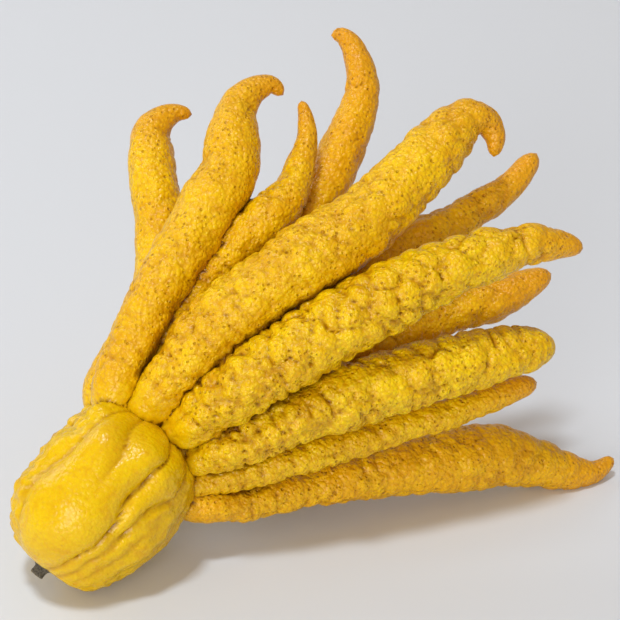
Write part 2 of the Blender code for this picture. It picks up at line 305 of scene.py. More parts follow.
def rind_relief(flat, knob, wrinkle, rooted, seed):
    """Height of the rind in mm over a straightened finger, and the painted shade of its valleys and
    rings.

    Height = slow swelling + knob * (domes - narrow valleys between them) - rings + small warts.
    Distances along are shortened by wrinkle, so a dome is wider round than it is long. Where
    rooted nears 1, at the finger's root, short rings run across it every RING_SPACING or so.
    """
    swelling = soft_noise(flat / SWELLING_SIZE, seed) * SWELLING_HEIGHT
    squeezed = flat * np.array([1.0 + 0.3 * wrinkle, 1.0 - 0.35 * wrinkle, 1.0 - 0.35 * wrinkle])
    drift = [soft_noise(flat / 6.0, seed + 3 + axis) for axis in range(3)]
    bent = squeezed + 1.4 * np.stack(drift, axis=-1)
    near, second = cells(bent / KNOB_SIZE, seed + 20)
    open_here = smooth_step(-0.35, 0.45, soft_noise(flat / 9.0, seed + 60) + 0.4 * wrinkle * rooted)
    valley = np.exp(-((second - near) / VALLEY_WIDTH) ** 1.2) * (0.35 + 0.65 * open_here)
    dome = 0.5 - 1.1 * np.clip(near, 0.0, 0.9) ** 2
    wart = 1.0 - 1.6 * np.clip(cells(bent / WART_SIZE, seed + 40)[0], 0.0, 0.9) ** 2
    ring_place = flat[..., 0] + 2.6 * soft_noise(flat / 7.0, seed + 70)
    to_ring = np.abs((ring_place / RING_SPACING) % 1.0 - 0.5) * RING_SPACING
    ring_here = smooth_step(-0.3, 0.2, soft_noise(flat / 6.0, seed + 80))
    ring = np.exp(-to_ring / RING_WIDTH) * rooted * (0.3 + 0.7 * wrinkle) * ring_here
    knobs = knob * (KNOB_HEIGHT * dome - VALLEY_DEPTH * valley)
    height = swelling + knobs - RING_DEPTH * ring + WART_HEIGHT * (wart - 0.55)
    return height, np.maximum(0.75 * valley ** 2 * np.clip(knob, 0.3, 1.0), ring)


print("knobs every", KNOB_SIZE, "mm, warts every", WART_SIZE, "mm, rings every", RING_SPACING, "mm")

# %% A finger's surface
def make_finger(name, rows, edge, knob, wrinkle, seed):
    """A tube: path + (radius + relief) * (cos a * lift + sin a * side) for each angle a.

    Thin places, the tip and the first millimetres at the root are calmer than the rest.
    """
    along, stations = stations_along(rows, edge)
    path, radius = stations[:, :3], stations[:, 3]
    length = along[-1]
    heel = radius[0]
    from_start = np.clip(along / heel, 0.0, 1.0)
    from_tip = np.clip((length - along) / (1.6 * radius[-1]), 0.0, 1.0)
    rounding = np.sqrt(1.0 - (1.0 - from_start) ** 2) * np.sqrt(1.0 - (1.0 - from_tip) ** 2)
    tangent = np.gradient(path, axis=0)
    tangent /= np.linalg.norm(tangent, axis=1)[:, None]
    side = np.cross(tangent, [0.0, 0.0, 1.0])
    side /= np.linalg.norm(side, axis=1)[:, None]
    lift = np.cross(side, tangent)
    count = max(24, round(2.0 * math.pi * radius.max() / edge))
    angle = np.linspace(0.0, 2.0 * math.pi, count, endpoint=False)
    flat = np.stack([
        np.broadcast_to(along[:, None], (len(along), count)),
        radius[:, None] * np.cos(angle),
        radius[:, None] * np.sin(angle)], axis=-1) + seed * 31.7
    rooted = 1.0 - smooth_step(0.25, 0.75, along / length)[:, None]
    height, valley_shade = rind_relief(flat, knob, wrinkle, rooted, seed)
    calm = 0.15 + 0.85 * smooth_step(2.5, 8.5, radius)[:, None]
    calm = calm * (0.3 + 0.7 * smooth_step(3.0, 24.0, length - along))[:, None]
    calm = calm * (0.5 + 0.5 * smooth_step(8.0, 28.0, along))[:, None]
    spread = rounding[:, None] * (radius[:, None] + height * calm)
    round_it = angle[None, :, None]
    direction = np.cos(round_it) * lift[:, None] + np.sin(round_it) * side[:, None]
    rings = path[:, None] + spread[..., None] * direction
    # hollow carries painted shade in the valleys between knobs and in the root rings
    marks = {"hollow": (valley_shade * calm)[1:-1]}
    return closed_rings(name, rings[1:-1], path[0], path[-1], marks)


lengths = [stations_along(rows, FINE_EDGE)[0][-1] for rows in FINGER_ROWS.values()]
print("the longest finger along its bend in mm:", round(max(lengths)))

# %% [markdown]
# ## The palm
# The palm is a blunt body, broader towards the lowest fingers, with a shallow basin where
# the stem sits. Long folds run from the stem to the fingers. Each fold presses the skin in
# by depth * e^(-distance / width), which has a sharp bottom and easy shoulders, so the skin
# between two folds is left standing as a plump lobe. A few broad swellings round the lobes
# out, and the left flank is knobbly. Sculpting would do as well, but folds that are written
# down by angle and depth can be moved one at a time.

# %% The palm's measures
PALM_STEM_END = np.array([-98.0, -94.0, 22.0])
PALM_FINGER_END = np.array([-58.0, -42.0, 16.0])
PALM_RADIUS = 29.0
PALM_WAIST = 38.0
FINGER_REACH = 29.0
BASIN_DEPTH = 3.4
BASIN_RADIUS = 8.0
OVERHANG = 0.5
STEM_END_BLUNTNESS = 0.72
FINGER_END_BLUNTNESS = 0.67
SIDE_BLUNTNESS = 0.82
FOLD_WIDTH = 4.0
PALM_KNOB_SIZE = 4.6
PALM_PEBBLE_SIZE = 3.0
FOLD_SHARES = [0.0, 0.2, 0.4, 0.6, 0.8, 1.0]
FOLDS = [
    # degrees round the palm at those shares of its length, then the depth in mm there
    ((-49, -46, -48, -40, -38, -43), (0.8, 1.4, 2.2, 3.2, 4.0, 3.6)),
    ((-2, -2, -2, -2, -4, -20), (0.0, 0.0, 0.2, 1.2, 3.8, 4.4)),
    ((15, 23, 27, 22, 26, 44), (4.0, 5.0, 5.2, 5.0, 4.8, 4.2)),
    ((34, 36, 38, 42, 62, 72), (2.4, 3.4, 3.8, 3.8, 3.2, 2.2)),
    ((50, 51, 53, 56, 64, 74), (0.6, 2.2, 2.0, 1.0, 0.3, 0.0)),
    ((70, 72, 75, 80, 84, 88), (0.8, 1.2, 1.4, 1.2, 1.0, 0.8)),
    ((102, 104, 106, 108, 108, 106), (2.0, 2.4, 2.6, 2.2, 2.0, 1.4)),
    ((136, 141, 139, 142, 140, 138), (1.4, 1.8, 2.2, 2.0, 1.4, 1.0)),
    ((170, 174, 178, 174, 176, 180), (2.2, 2.8, 3.0, 2.6, 2.2, 1.6)),
    ((206, 208, 204, 210, 208, 206), (1.4, 1.8, 2.0, 2.2, 1.8, 1.2)),
    ((238, 240, 244, 240, 238, 236), (2.0, 2.4, 2.4, 2.0, 1.8, 1.4)),
    ((276, 272, 270, 274, 278, 276), (1.6, 2.0, 2.2, 2.2, 2.0, 1.6)),
]
SWELLINGS = [
    # share of the palm's length, degrees round it, radius and height in mm
    (0.78, -20, 11, 4.2), (0.84, 20, 8, 3.6), (0.32, -12, 20, 3.0), (0.53, 33, 6, 2.2),
    (0.03, 80, 9, 2.6), (0.74, -64, 11, -2.2), (0.90, -2, 5, -1.4), (0.62, 2, 9, 0.8),
    (0.30, 30, 8, 1.2), (0.15, -92, 9, 1.0), (0.88, -56, 5, 2.8), (0.58, -60, 6, 1.4),
    (0.28, -58, 7, 1.3), (0.42, 60, 9, 1.2), (0.45, 92, 12, 1.5), (0.40, 122, 11, 1.4),
    (0.60, 158, 10, 1.6), (0.30, 192, 12, 1.6), (0.55, 224, 9, 1.4), (0.40, 258, 9, 1.5),
]


def palm_axes():
    """Unit vectors: along the palm, out of its front, and to its lower right."""
    along = PALM_FINGER_END - PALM_STEM_END
    along /= np.linalg.norm(along)
    front = np.array([0.0, 0.0, 1.0]) - along[2] * along
    front /= np.linalg.norm(front)
    return along, front, np.cross(along, front)


print("folds:", len(FOLDS), "swellings and dents:", len(SWELLINGS),
      "palm length in mm:", PALM_WAIST + FINGER_REACH)

# %% Folds, swellings and knobs of the palm
def palm_folds(angle, share, girth):
    """Sum of depth * e^(-arc / width) over the folds, and how near the closest fold is.

    arc is the distance in mm round the palm: radius * the angle between the place and the fold.
    """
    pressed, closeness = np.zeros(angle.shape), np.zeros(angle.shape)
    for degrees, depths in FOLDS:
        fold_angle = np.radians(np.interp(share, FOLD_SHARES, degrees))
        depth = np.interp(share, FOLD_SHARES, depths)
        arc = girth * np.abs((angle - fold_angle + math.pi) % (2.0 * math.pi) - math.pi)
        pressed += depth * np.exp(-arc / FOLD_WIDTH)
        closeness = np.maximum(closeness, np.exp(-(arc / 0.9) ** 2) * smooth_step(0.6, 2.0, depth))
    return pressed, closeness


def palm_swellings(angle, share, girth):
    """Sum of height * e^(-(distance / radius)^2) over the swellings."""
    raised = np.zeros(angle.shape)
    for place, degrees, radius, height in SWELLINGS:
        round_it = girth * ((angle - math.radians(degrees) + math.pi) % (2.0 * math.pi) - math.pi)
        along_it = (share - place) * (PALM_WAIST + FINGER_REACH)
        raised += height * np.exp(-(round_it ** 2 + along_it ** 2) / radius ** 2)
    return raised


def palm_relief(flat, angle, share, girth):
    """Swellings - folds + knobs on both flanks + faint pebbles, and how near a fold is.

    The left flank is knobbly and the right one a little. A knob is higher the nearer its own
    cell point is, and a narrow valley runs where two cell points are equally near.
    """
    wander = 0.04 * soft_noise(flat / 6.0, 5)
    pressed, closeness = palm_folds(angle + wander, np.broadcast_to(share, angle.shape), girth)
    degrees = np.degrees(angle)
    knobbly = smooth_step(-34.0, -50.0, degrees) + smooth_step(28.0, 60.0, degrees) * 0.6
    near, second = cells((flat + 1.6 * soft_noise(flat / 4.0, 12)[..., None]) / PALM_KNOB_SIZE, 77)
    knobs = knobbly * (1.9 * (0.5 - near) - 0.8 * np.exp(-np.abs(second - near) / 0.22))
    pebbles = 0.14 * (0.5 - cells(flat / PALM_PEBBLE_SIZE, 91)[0]) + 0.5 * soft_noise(flat / 9.0, 8)
    return palm_swellings(angle, share, girth) - pressed + knobs + pebbles, closeness


print("deepest fold in mm:", max(max(depths) for _, depths in FOLDS))

# %% The palm's surface
def make_palm(edge):
    """Radius = superellipse outline, a little fuller to the right, + relief.

    A superellipse is an ellipse whose sine and cosine are raised to a power below 1, which
    makes its ends blunter. At the stem end the skin dips by BASIN_DEPTH into a basin, and
    rises by OVERHANG in a brow round it.
    """
    along, front, right = palm_axes()
    rounds, around = round(100.0 / edge), round(2.0 * math.pi * PALM_RADIUS / edge)
    turn = np.linspace(0.0, math.pi, rounds + 2)[1:-1]
    cosine = np.cos(turn)
    distance = np.where(
        cosine > 0.0,
        PALM_WAIST - (PALM_WAIST + 1.0) * np.abs(cosine) ** STEM_END_BLUNTNESS,
        PALM_WAIST + FINGER_REACH * np.abs(cosine) ** FINGER_END_BLUNTNESS)
    outline = PALM_RADIUS * np.sin(turn) ** SIDE_BLUNTNESS
    angle = np.linspace(-math.pi, math.pi, around, endpoint=False)
    grid_angle = np.broadcast_to(angle, (rounds, around))
    share = (distance / (PALM_WAIST + FINGER_REACH))[:, None]
    fuller = 1.0 + (0.01 + 0.055 * smooth_step(0.15, 0.7, share)) * np.sin(grid_angle)
    girth = outline[:, None] * fuller
    flat = np.stack([
        np.broadcast_to(distance[:, None], grid_angle.shape),
        girth * np.cos(grid_angle),
        girth * np.sin(grid_angle)], axis=-1)
    away_from_poles = smooth_step(0.0, 12.0, outline)[:, None]
    relief, closeness = palm_relief(flat, grid_angle, share, girth)
    radius = girth + away_from_poles * relief
    near_stem = (cosine > 0.0)[:, None]
    dip = BASIN_DEPTH * np.exp(-(outline / BASIN_RADIUS) ** 2)[:, None] * near_stem
    brow = OVERHANG * np.exp(-((outline - 13.0) / 7.0) ** 2)[:, None] * near_stem
    brow = brow * (1.0 + 0.6 * np.cos(grid_angle - math.radians(30.0)))
    shifted = distance[:, None] + dip - brow
    direction = np.cos(grid_angle)[..., None] * front + np.sin(grid_angle)[..., None] * right
    rings = PALM_STEM_END + shifted[..., None] * along + radius[..., None] * direction
    stem_pole = PALM_STEM_END + (BASIN_DEPTH - 1.0) * along
    finger_pole = PALM_STEM_END + (PALM_WAIST + FINGER_REACH) * along
    # hollow carries painted shade along the palm's folds
    return closed_rings("palm", rings, stem_pole, finger_pole, {"hollow": closeness * away_from_poles})


palm = make_palm(FINE_EDGE)

# %% [markdown]
# ## One skin
# Seventeen fingers, the root bed and the palm overlap at their roots. A Boolean union keeps
# only the outer skin and leaves a sharp fold wherever two of them meet, which is just how the
# fruit looks. Melting them by a remesh would round those folds off. The lower front fingers
# are the knobbliest and the greenest yellow, and the back ones are smoother and more orange.

# %% Build the fingers
SURFACES = {
    # knob height, cross wrinkling, how orange from 0 to 1
    "hooked_left": (0.35, 0.1, 0.50), "hooked_second": (0.50, 0.2, 0.60), "slender": (0.60, 0.2, 0.50),
    "tallest": (0.40, 0.1, 0.90), "long_hook": (0.75, 0.4, 0.45), "upper_back": (0.65, 0.2, 0.65),
    "broad": (1.00, 0.7, 0.14), "middle_back": (0.70, 0.2, 0.75), "blunt": (0.95, 0.9, 0.03),
    "narrow": (0.80, 1.0, 0.25), "lowest": (0.60, 0.8, 0.80),
    "hidden_prop": (0.8, 0.3, 0.5), "hidden_upper": (0.8, 0.2, 0.4), "hidden_right": (0.8, 0.2, 0.5),
    "hidden_left": (0.8, 0.2, 0.6), "hidden_low": (0.8, 0.4, 0.3), "hidden_middle": (0.8, 0.3, 0.4),
    "root_bed": (0.6, 0.2, 0.4),
}
PALM_ORANGE = 0.0
fingers = []
for seed, (name, rows) in enumerate(FINGER_ROWS.items()):
    edge = COARSE_EDGE if name.startswith("hidden") else FINE_EDGE
    knob, wrinkle, _ = SURFACES[name]
    fingers.append(make_finger(name, rows, edge, knob, wrinkle, seed=100 * seed))
print("shapes to unite with the palm:", len(fingers))

# %% Unite them with the palm
def unite(base, others, name):
    """A chain of Boolean unions on base, made one mesh; the separate shapes are then removed.

    Before that, every point of a shape gets the shape's number, which the union hands on.
    """
    for number, shape in enumerate([base] + others):
        put_mark(shape.data, "shape", np.full(len(shape.data.vertices), float(number)))
    for other in others:
        join = base.modifiers.new(other.name, "BOOLEAN")
        join.operation = "UNION"
        join.solver = "MANIFOLD"
        join.object = other
    bpy.context.view_layer.update()
    evaluated = base.evaluated_get(bpy.context.evaluated_depsgraph_get())
    mesh = bpy.data.meshes.new_from_object(evaluated)
    mesh.name = name
    for used in [base] + others:
        bpy.data.objects.remove(used, do_unlink=True)
    whole = bpy.data.objects.new(name, mesh)
    bpy.context.scene.collection.objects.link(whole)
    return whole


fruit_skin = unite(palm, fingers, "fruit_skin")
print("faces of the united skin:", len(fruit_skin.data.polygons))

# %% [markdown]
# ## Painted shade in hollows, seams and facing walls
# Shade is painted darker into the places that light hardly reaches: the bottom of a hollow,
# the seam where two fingers grow together, and walls that face each other across a narrow gap.
# All three can be measured on the skin. Every point knows the number of the shape it came from,
# so an edge between two numbers lies on a seam. Baked shade would do it too, but a mark on
# the points stays with the mesh wherever it goes.

# %% Hollows and seams
SEAM_STRETCH = 4.0


def read(items, field, width, kind=float):
    """One field of every item of a mesh, as rows of that width."""
    values = np.empty(len(items) * width, dtype=kind)
    items.foreach_get(field, values)
    return values.reshape(-1, width)


def mean_over_neighbours(values, start, end, neighbours):
    """For each point, the mean of the values at the other ends of its edges."""
    count = len(neighbours)
    total = np.bincount(start, values[end], count) + np.bincount(end, values[start], count)
    return total / neighbours


def hollowness(mesh):
    """How hollow each point is, and how close it is to a seam between two shapes.

    Hollow: the mean slope up to the neighbours, above the point's own tangent plane. It is
    above 0 in a hollow and below 0 on a bulge, and is averaged once over the neighbours.
    Seam: the share of edges that lead to another shape's points, stretched to reach 1.
    """
    count = len(mesh.vertices)
    places, normals = read(mesh.vertices, "co", 3), read(mesh.vertex_normals, "vector", 3)
    start, end = read(mesh.edges, "vertices", 2, np.int32).T
    across = places[end] - places[start]
    across /= np.maximum(np.linalg.norm(across, axis=1), 1e-9)[:, None]
    neighbours = np.bincount(start, minlength=count) + np.bincount(end, minlength=count)
    slope = np.bincount(start, (across * normals[start]).sum(1), count)
    slope -= np.bincount(end, (across * normals[end]).sum(1), count)
    slope /= neighbours
    slope = (slope + mean_over_neighbours(slope, start, end, neighbours)) / 2
    shape = read(mesh.attributes["shape"].data, "value", 1)[:, 0]
    crosses = np.abs(shape[start] - shape[end]) > 0.5
    seam = (np.bincount(start, crosses, count) + np.bincount(end, crosses, count)) / neighbours
    mesh.attributes.remove(mesh.attributes["shape"])
    return slope, np.clip(SEAM_STRETCH * seam, 0.0, 1.0)


slope, seam = hollowness(fruit_skin.data)
print("slope at the 5, 50, 95 and 99 percent points:", np.percentile(slope, [5, 50, 95, 99]).round(3))
print("points on seams:", int((seam > 0).sum()))

# %% Walls that face each other
NARROW_GAP = 3.2
CLOSED_GAP = 0.5


def facing_wall_shade(places, everything, middles):
    """How closely each point faces a neighbour across a narrow gap, the measure for painted shade there.

    The gap is the distance to the second nearest shape. Facing is the cosine between the way
    out of the point's own shape and the way to that neighbour's middle line.
    """
    each = np.arange(len(places))
    first, second = np.argsort(everything, axis=0)[:2]
    outward = places - middles[first, each]
    across = middles[second, each] - places
    lengths = np.linalg.norm(outward, axis=1) * np.linalg.norm(across, axis=1)
    facing = (outward * across).sum(1) / (lengths + 1e-9)
    narrow = smooth_step(NARROW_GAP, CLOSED_GAP, everything[second, each])
    return narrow * smooth_step(0.35, 0.80, facing)


print("facing walls darken under a gap of", NARROW_GAP, "mm")

# %% [markdown]
# ## What each place on the skin belongs to
# Colour follows growth too: tips ripen to orange first, some fingers are riper than others,
# and the palm stays lemon. So each point asks every finger and the palm how far it is from
# that shape's surface. The nearest one owns the point and says how far along it lies, and
# the ripeness of shapes that are about equally near is blended.

# %% Marks for every point
STATION_SPACING = 1.5
BLEND_WIDTH = 1.5
# the palm's plain radius at places along it, in mm
PALM_STATIONS = [6.0, 20.0, 40.0, 52.0, 56.0]
PALM_STATION_RADII = [20.0, 27.0, 29.0, 27.0, 25.0]


def nearest_on_finger(places, rows):
    """Distance to the finger's surface, share of its length there, and its middle line there.

    Signed distance to a finger = distance to its nearest station - the radius there.
    """
    along, stations = stations_along(rows, STATION_SPACING)
    path, radius = stations[:, :3], stations[:, 3]
    squared = (places ** 2).sum(1)[:, None] + (path ** 2).sum(1) - 2.0 * places @ path.T
    surface = np.sqrt(np.maximum(squared, 0.0)) - radius
    nearest = surface.argmin(axis=1)
    return surface[np.arange(len(places)), nearest], along[nearest] / along[-1], path[nearest]


def mark_skin(mesh, slope, seam):
    """Put the marks cleft, ripe, tone and palm on the points.

    Cleft shade, which is painted: hollow slope between two limits that drop near a seam, or a
    facing wall. Ripe: how far along its finger the point lies. Tone: each shape's orange,
    weighted by e^(-distance / BLEND_WIDTH). Palm: 1 on the palm, 0 on the fingers, with a soft border.
    """
    from_origin = read(mesh.vertices, "co", 3) / MM - FAN_ORIGIN
    places = from_origin @ np.stack([ACROSS, UP, TOWARD]).T
    each_finger = [nearest_on_finger(places, rows) for rows in FINGER_ROWS.values()]
    gaps, shares, middles = (np.array(found) for found in zip(*each_finger))
    axis, _, _ = palm_axes()
    down = np.clip((places - PALM_STEM_END) @ axis, PALM_STATIONS[0], PALM_STATIONS[-1])
    core = PALM_STEM_END + down[:, None] * axis
    palm_gap = np.linalg.norm(places - core, axis=1) - np.interp(down, PALM_STATIONS, PALM_STATION_RADII)
    everything = np.vstack([palm_gap, gaps])
    owner = everything.argmin(axis=0)
    # painted shade: hollows and seams here, facing walls next
    cleft_shade = smooth_step(0.10 - 0.13 * seam, 0.38 - 0.31 * seam, slope)
    walls = facing_wall_shade(places, everything, np.concatenate([core[None], middles]))
    along_own = np.take_along_axis(shares, np.maximum(owner - 1, 0)[None], 0)[0]
    tones = np.array([PALM_ORANGE] + [SURFACES[name][2] for name in FINGER_ROWS])
    weight = np.exp(-everything / BLEND_WIDTH)
    marks = {
        "cleft_shade": np.maximum(cleft_shade, 0.9 * walls),
        "ripe": np.where(owner == 0, 0.0, along_own),
        "tone": (tones[:, None] * weight).sum(axis=0) / weight.sum(axis=0),
        "palm": 1.0 / (1.0 + np.exp((palm_gap - gaps.min(axis=0)) / BLEND_WIDTH)),
    }
    for mark, values in marks.items():
        put_mark(mesh, mark, values)
    print("points:", len(places), "in clefts:", int((marks["cleft_shade"] > 0.5).sum()),
          "on the palm:", int((owner == 0).sum()))


mark_skin(fruit_skin.data, slope, seam)

# %% [markdown]
# ## A skin that any program can read
# The union leaves a few many-sided faces that pass the same point twice, and files of meshes
# can't hold those. Cutting every face into triangles puts that right, and shows which slivers
# enclose nothing, so that they can be left out without opening the skin.

# %% The skin in clean triangles
SHARP_FOLD = math.radians(62.0)


def in_triangles(marked, marks):
    """The same surface as a new mesh of triangles, with the same marks on its points.

    A triangle that has a point twice has no area, and two that share all three points lie
    back to back. Both kinds are left out, and so are points that no triangle uses.
    """
    marked.calc_loop_triangles()
    corners = read(marked.loop_triangles, "vertices", 3, np.int32)
    corners = corners[(corners != np.roll(corners, 1, axis=1)).all(axis=1)]
    _, twin, sharing = np.unique(
        np.sort(corners, axis=1), axis=0, return_inverse=True, return_counts=True)
    corners = corners[sharing[twin.reshape(-1)] == 1]
    used, corners = np.unique(corners, return_inverse=True)
    mesh = bpy.data.meshes.new(marked.name)
    mesh.from_pydata(read(marked.vertices, "co", 3)[used], [], corners.reshape(-1, 3))
    for mark in marks:
        put_mark(mesh, mark, read(marked.attributes[mark].data, "value", 1)[used, 0])
    print("triangles:", len(mesh.polygons), "of", len(marked.loop_triangles),
          "anything still wrong:", mesh.validate())
    return mesh


fruit_skin.data = in_triangles(fruit_skin.data, ["hollow", "cleft_shade", "ripe", "tone", "palm"])
fruit_skin.data.shade_smooth()
fruit_skin.data.set_sharp_from_angle(angle=SHARP_FOLD)

# %% [markdown]
# ## A few tools for materials
# A material is a small factory of nodes. A few helpers do the common jobs: add a node with
# its sockets fed, mix two colours, stretch a value, read a mark, multiply, add or subtract.

# %% Helpers for materials
def feed(tree, socket, value):
    """Set the socket to a number or colour, or link it if the value is a node's output."""
    if isinstance(value, bpy.types.NodeSocket):
        tree.links.new(value, socket)
    else:
        socket.default_value = value


def linked(tree, kind, **settings):
    """Add a node of that kind, set its properties, feed its sockets, and return it."""
    node = tree.nodes.new(kind)
    for key, value in settings.items():
        if key.startswith("in_"):
            socket = key[3:].replace("_", " ")
            feed(tree, node.inputs[int(socket) if socket.isdigit() else socket], value)
        else:
            setattr(node, key, value)
    return node


def new_material(name):
    """A material with its node tree and its shader."""
    material = bpy.data.materials.new(name)
    material.use_nodes = True
    return material, material.node_tree, material.node_tree.nodes["Principled BSDF"]


def colour(red, green, blue):
    """Display values from 0 to 255 to the linear light that a shader wants."""
    display = np.array([red, green, blue]) / 255.0
    linear = np.where(display > 0.04045, ((display + 0.055) / 1.055) ** 2.4, display / 12.92)
    return (*linear, 1.0)


def mix_colour(tree, factor, first, second):
    """first where factor is 0, second where it is 1."""
    mix = linked(tree, "ShaderNodeMix", data_type="RGBA", in_Factor=factor, in_A=first, in_B=second)
    return mix.outputs["Result"]


def ramp(tree, factor, low, high):
    """Stretch factor so that low becomes 0 and high becomes 1."""
    stretch = linked(tree, "ShaderNodeMapRange", interpolation_type="SMOOTHSTEP",
                     in_0=factor, in_1=low, in_2=high)
    return stretch.outputs[0]


def attribute(tree, name):
    """The mark of that name on the skin's points."""
    return linked(tree, "ShaderNodeAttribute", attribute_name=name).outputs["Fac"]


def noise(tree, where, scale, detail):
    """Soft noise with about scale swellings per metre; each detail adds finer ones."""
    node = linked(tree, "ShaderNodeTexNoise", in_Vector=where, in_Scale=scale, in_Detail=detail)
    return node.outputs["Fac"]


def cell_distance(tree, where, scale):
    """Distance to the nearest of scale points per metre: 0 at a point, near 1 between them."""
    return linked(tree, "ShaderNodeTexVoronoi", in_Vector=where, in_Scale=scale).outputs["Distance"]


def warped(tree, where, scale, reach):
    """Push the coordinates about by up to reach, so that a regular pattern loses its grid."""
    drift = linked(tree, "ShaderNodeTexNoise", in_Vector=where, in_Scale=scale, in_Detail=1.0)
    push = linked(tree, "ShaderNodeVectorMath", operation="MULTIPLY_ADD",
                  in_0=drift.outputs["Color"], in_1=(reach, reach, reach), in_2=where)
    return push.outputs["Vector"]


def worked_out(tree, operation, first, second):
    """That operation on first and second."""
    return linked(tree, "ShaderNodeMath", operation=operation, in_0=first, in_1=second).outputs[0]


def product(tree, first, second):
    """first times second."""
    return worked_out(tree, "MULTIPLY", first, second)


def eased_on_palm(tree, palm_share, amount, drop):
    """amount - drop * palm_share: the smooth palm shows less of a pattern than the fingers."""
    return worked_out(tree, "SUBTRACT", amount, product(tree, palm_share, drop))


print("lemon as light:", np.round(colour(240, 205, 6)[:3], 3))

# %% [markdown]
# ## Rind
# Citron rind is waxy and full of oil glands, each a tiny dimple that looks a little darker.
# Its colour goes on in layers, like glazes: lemon or orange by the finger's tone, duller on
# the palm, orange at ripe tips, painted warm shade between pebbles, brown in pits, painted
# shade in creases, and darker painted shade in clefts. Pebbles and pits are too small to be
# worth geometry, so they are bumps. An image could give all this, but a pattern that is
# worked out has no seams and no end.

# %% Colour of the rind
PEBBLES_PER_METRE = 600.0
GLANDS_PER_METRE = 500.0


def rind_colour(tree, where, palm_share, pebbles, pits):
    """Layers from the bottom: base by tone, palm, tips, painted pebble shade, mottle, pits, painted fold
    shade.
    """
    tone = attribute(tree, "tone")
    patches = ramp(tree, noise(tree, where, 60.0, 3.0), 0.35, 0.65)
    lemon = mix_colour(tree, patches, colour(240, 205, 6), colour(232, 192, 4))
    orange = mix_colour(tree, patches, colour(241, 188, 4), colour(233, 172, 2))
    skin = mix_colour(tree, tone, lemon, orange)
    skin = mix_colour(tree, product(tree, palm_share, 0.45), skin, colour(216, 172, 2))
    near_tip = product(tree, ramp(tree, attribute(tree, "ripe"), 0.74, 1.0), 0.75)
    tips = product(tree, near_tip, ramp(tree, tone, 0.0, 0.13))
    skin = mix_colour(tree, tips, skin, colour(222, 150, 26))
    # painted warm shade between the pebbles, weaker on the palm
    shown = eased_on_palm(tree, palm_share, 0.40, 0.24)
    between = product(tree, ramp(tree, pebbles, 0.32, 0.78), shown)
    skin = mix_colour(tree, between, skin, colour(206, 140, 0))
    mottle = product(tree, ramp(tree, noise(tree, where, 260.0, 3.0), 0.50, 0.72), 0.32)
    skin = mix_colour(tree, mottle, skin, colour(206, 136, 0))
    skin = mix_colour(tree, product(tree, pits, 0.45), skin, colour(172, 98, 2))
    # painted shade in the valleys, root rings and palm folds
    crease_shade = product(tree, attribute(tree, "hollow"), eased_on_palm(tree, palm_share, 0.78, 0.36))
    skin = mix_colour(tree, crease_shade, skin, colour(158, 84, 0))
    # painted dark shade in clefts, on seams and on walls across narrow gaps
    cleft_shade = product(tree, attribute(tree, "cleft_shade"), 0.88)
    return mix_colour(tree, cleft_shade, skin, colour(98, 38, 4))


print("pebbles are about", round(1000.0 / PEBBLES_PER_METRE, 1), "mm apart,",
      "glands", round(1000.0 / GLANDS_PER_METRE, 1), "mm")

# %% Bumps of the rind and the whole material
def rind_bumps(tree, where, palm_share, pebbles, pits):
    """Fine grain, then rounded pebbles, then pits pressed in, each laid over the one before."""
    strength = eased_on_palm(tree, palm_share, 0.80, 0.50)
    grain = linked(tree, "ShaderNodeBump", in_Strength=strength, in_Distance=0.45 * MM,
                   in_Height=noise(tree, where, 620.0, 3.0))
    rounds = linked(tree, "ShaderNodeBump", in_Strength=strength, in_Distance=0.7 * MM, invert=True,
                    in_Height=pebbles, in_Normal=grain.outputs["Normal"])
    dimples = linked(tree, "ShaderNodeBump", in_Strength=0.9, in_Distance=0.5 * MM, invert=True,
                     in_Height=pits, in_Normal=rounds.outputs["Normal"])
    return dimples.outputs["Normal"]


def rind_material():
    """Waxy rind: roughness 0.24 to 0.38, glossier on the palm, and a little light inside."""
    material, tree, shader = new_material("rind_waxy")
    where = linked(tree, "ShaderNodeTexCoord").outputs["Object"]
    palm_share = attribute(tree, "palm")
    pebbles = cell_distance(tree, warped(tree, where, 500.0, 1.2 * MM), PEBBLES_PER_METRE)
    gland = ramp(tree, cell_distance(tree, where, GLANDS_PER_METRE), 0.34, 0.10)
    here = ramp(tree, noise(tree, where, 140.0, 1.0), 0.30, 0.62)
    pits = product(tree, product(tree, gland, here), eased_on_palm(tree, palm_share, 1.0, 0.85))
    rough = linked(tree, "ShaderNodeMapRange", in_0=noise(tree, where, 300.0, 2.0), in_3=0.24, in_4=0.38)
    finish = {
        "Base Color": rind_colour(tree, where, palm_share, pebbles, pits),
        "Normal": rind_bumps(tree, where, palm_share, pebbles, pits),
        "Roughness": worked_out(tree, "ADD", rough.outputs[0], product(tree, palm_share, -0.05)),
        "Specular IOR Level": 0.30,
        "Subsurface Weight": 0.12,
        "Subsurface Radius": (1.0, 0.5, 0.1),
        "Subsurface Scale": 2.0 * MM,
    }
    for socket, value in finish.items():
        feed(tree, shader.inputs[socket], value)
    print(material.name, "nodes:", len(tree.nodes))
    return material


fruit_skin.data.materials.append(rind_material())
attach(fruit_skin, "root")
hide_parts("fruit")

# %% [markdown]
# ## The stem button
# Where the fruit was cut from its twig, the dried flower cup still holds a stub of stem. The
# cup has five blunt points that turn up at their rims. Both are one profile carried round the
# palm's axis, with a radius that swells five times on the way for the cup and ripples finely
# on the stub for its bark. A Screw modifier could only turn it perfectly round.

